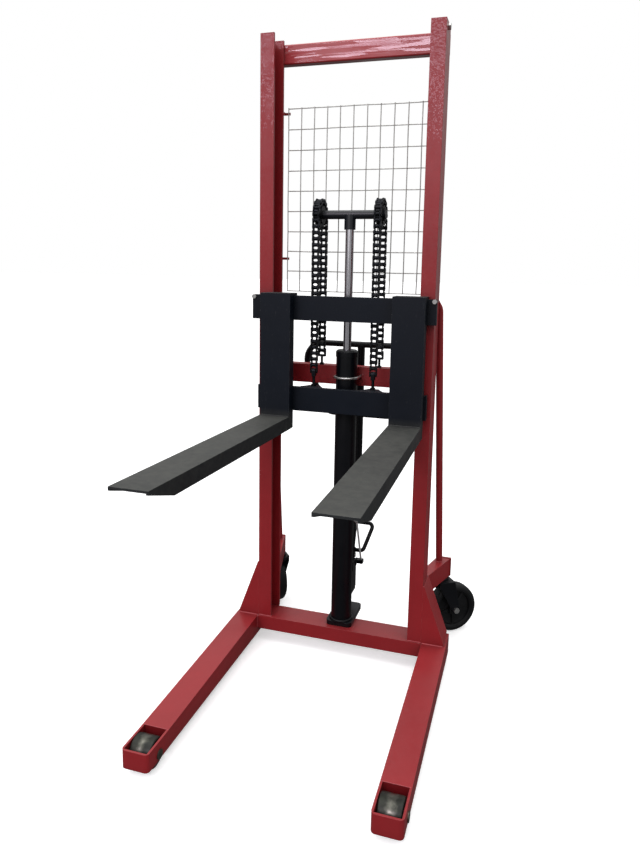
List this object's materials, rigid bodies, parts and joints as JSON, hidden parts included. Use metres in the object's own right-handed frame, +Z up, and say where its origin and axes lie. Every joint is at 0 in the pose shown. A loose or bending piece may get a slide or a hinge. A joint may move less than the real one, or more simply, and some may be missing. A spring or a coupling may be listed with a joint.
{
  "type": "hand hydraulic straddle stacker",
  "caption": "Hand operated hydraulic straddle stacker with a red channel mast, chain lifted fork carriage, straddle legs on rollers and swivel casters.",
  "frame": {"origin": "on the floor under the middle of the truck's outline, on its middle plane, 241 mm in front of the mast's front face", "axes": "+Z up, forks and legs point to -Y, tiller and casters at +Y, +X across the mast"},
  "size_m": [0.8417, 1.2439, 2],
  "materials": {
    "red_paint": "gloss",
    "carriage_paint": "satin",
    "black_paint": "satin",
    "rod_chrome": "polished",
    "machined_steel": "satin",
    "chain_steel": "oiled",
    "plated_steel": "plated",
    "wheel_black": "matte",
    "guard_wire": "satin"
  },
  "bodies": {
    "frame": {"mast_channel_left": "red_paint", "mast_channel_right": "red_paint", "top_crossbar": "red_paint", "middle_crossbeam": "red_paint", "base_crossbeam": "red_paint", "leg_left": "red_paint", "leg_right": "red_paint", "roller_box_left": "red_paint", "roller_box_right": "red_paint", "gusset_left": "red_paint", "gusset_right": "red_paint", "caster_bracket_left": "red_paint", "caster_bracket_right": "red_paint", "stay_tube_left": "red_paint", "stay_tube_right": "red_paint", "mesh_guard": "guard_wire", "guard_hooks": "red_paint", "cylinder_foot": "black_paint", "cylinder_tube": "black_paint", "cylinder_gland": "black_paint", "cylinder_clamp": "plated_steel", "pump_body": "black_paint", "lever_pin": "machined_steel", "beam_chain_anchors": "plated_steel", "mast_stop_bolts": "plated_steel", "front_axles": "machined_steel", "caster_kingpins": "black_paint", "chain_back": "chain_steel"},
    "ram": {"ram_rod": "rod_chrome", "crosshead": "chain_steel", "sprocket_clips": "chain_steel", "chain_wrap": "chain_steel"},
    "sprocket_left": {"sprocket_left": "chain_steel"},
    "sprocket_right": {"sprocket_right": "chain_steel"},
    "carriage": {"carriage_upper_bar": "carriage_paint", "carriage_lower_bar": "carriage_paint", "carriage_side_left": "carriage_paint", "carriage_side_right": "carriage_paint", "carriage_chain_anchors": "plated_steel", "ear_bolts": "plated_steel", "chain_front": "chain_steel"},
    "guide_lower_left": {"guide_roller_lower_left": "machined_steel"},
    "guide_upper_left": {"guide_roller_upper_left": "machined_steel"},
    "guide_lower_right": {"guide_roller_lower_right": "machined_steel"},
    "guide_upper_right": {"guide_roller_upper_right": "machined_steel"},
    "fork_left": {"fork_left": "carriage_paint"},
    "fork_right": {"fork_right": "carriage_paint"},
    "front_roller_left": {"front_roller_left": "machined_steel"},
    "front_roller_right": {"front_roller_right": "machined_steel"},
    "caster_left": {"caster_fork_left": "black_paint", "caster_axle_left": "plated_steel"},
    "caster_right": {"caster_fork_right": "black_paint", "caster_axle_right": "plated_steel"},
    "wheel_left": {"caster_wheel_left": "wheel_black"},
    "wheel_right": {"caster_wheel_right": "wheel_black"},
    "pump_lever": {"tiller_shaft": "black_paint", "tiller_loop": "black_paint", "pedal_loop": "black_paint"},
    "plunger": {"pump_plunger": "machined_steel"},
    "release": {"release_rod": "plated_steel"}
  },
  "joints": [
    {"name": "ram_lift", "type": "slide", "parent": "frame", "child": "ram", "axis": [0, 0, 1], "range_m": [-0.36195, 0.36195], "deforming": ["chain_back", "chain_wrap"]},
    {"name": "carriage_lift", "type": "slide", "parent": "ram", "child": "carriage", "axis": [0, 0, 1], "range_m": [-0.36295, 0.36295], "deforming": ["chain_front"]},
    {"name": "sprocket_left_turn", "type": "hinge", "parent": "ram", "child": "sprocket_left", "pos_m": [-0.098, 0.293, 1.458], "axis": [-1, 0, 0], "range_deg": [-489.27, 489.27]},
    {"name": "guide_lower_left_roll", "type": "hinge", "parent": "carriage", "child": "guide_lower_left", "pos_m": [-0.259, 0.2865, 0.884], "axis": [1, 0, 0], "continuous": true},
    {"name": "guide_upper_left_roll", "type": "hinge", "parent": "carriage", "child": "guide_upper_left", "pos_m": [-0.259, 0.2865, 1.146], "axis": [1, 0, 0], "continuous": true},
    {"name": "fork_left_shift", "type": "slide", "parent": "carriage", "child": "fork_left", "axis": [1, 0, 0], "range_m": [-0.003, 0.09]},
    {"name": "front_roller_left_roll", "type": "hinge", "parent": "frame", "child": "front_roller_left", "pos_m": [-0.3255, -0.426, 0.0395], "axis": [1, 0, 0], "continuous": true},
    {"name": "caster_left_swivel", "type": "hinge", "parent": "frame", "child": "caster_left", "pos_m": [-0.309, 0.506, 0.2], "axis": [0, 0, 1], "continuous": true},
    {"name": "caster_left_roll", "type": "hinge", "parent": "caster_left", "child": "wheel_left", "pos_m": [-0.33985, 0.54277, 0.088], "axis": [-0.766, -0.6428, 0], "continuous": true},
    {"name": "sprocket_right_turn", "type": "hinge", "parent": "ram", "child": "sprocket_right", "pos_m": [0.098, 0.293, 1.458], "axis": [-1, 0, 0], "range_deg": [-489.27, 489.27]},
    {"name": "guide_lower_right_roll", "type": "hinge", "parent": "carriage", "child": "guide_lower_right", "pos_m": [0.259, 0.2865, 0.884], "axis": [1, 0, 0], "continuous": true},
    {"name": "guide_upper_right_roll", "type": "hinge", "parent": "carriage", "child": "guide_upper_right", "pos_m": [0.259, 0.2865, 1.146], "axis": [1, 0, 0], "continuous": true},
    {"name": "fork_right_shift", "type": "slide", "parent": "carriage", "child": "fork_right", "axis": [-1, 0, 0], "range_m": [-0.005, 0.09]},
    {"name": "front_roller_right_roll", "type": "hinge", "parent": "frame", "child": "front_roller_right", "pos_m": [0.3255, -0.426, 0.0395], "axis": [1, 0, 0], "continuous": true},
    {"name": "caster_right_swivel", "type": "hinge", "parent": "frame", "child": "caster_right", "pos_m": [0.309, 0.506, 0.2], "axis": [0, 0, 1], "continuous": true},
    {"name": "caster_right_roll", "type": "hinge", "parent": "caster_right", "child": "wheel_right", "pos_m": [0.34832, 0.53353, 0.088], "axis": [-0.5736, 0.8192, 0], "continuous": true},
    {"name": "pump_lever_swing", "type": "hinge", "parent": "frame", "child": "pump_lever", "pos_m": [0, 0.397, 0.262], "axis": [-1, 0, 0], "range_deg": [0, 50], "stiffness_Nm_per_rad": 40, "springref_deg": -28.65},
    {"name": "plunger_stroke", "type": "slide", "parent": "frame", "child": "plunger", "axis": [0, 0, -1], "range_m": [0, 0.0385]},
    {"name": "release_pull", "type": "slide", "parent": "frame", "child": "release", "axis": [-0.1305, 0, 0.9914], "range_m": [0, 0.012], "stiffness_N_per_m": 800, "springref_m": -0.01}
  ],
  "couplings": [
    {"joint": "carriage_lift", "follows": "ram_lift", "ratio": 1},
    {"joint": "sprocket_left_turn", "follows": "ram_lift", "rad_per_m": 23.559},
    {"joint": "sprocket_right_turn", "follows": "ram_lift", "rad_per_m": 23.559},
    {"joint": "plunger_stroke", "follows": "pump_lever_swing", "m_per_rad": 0.043677}
  ]
}
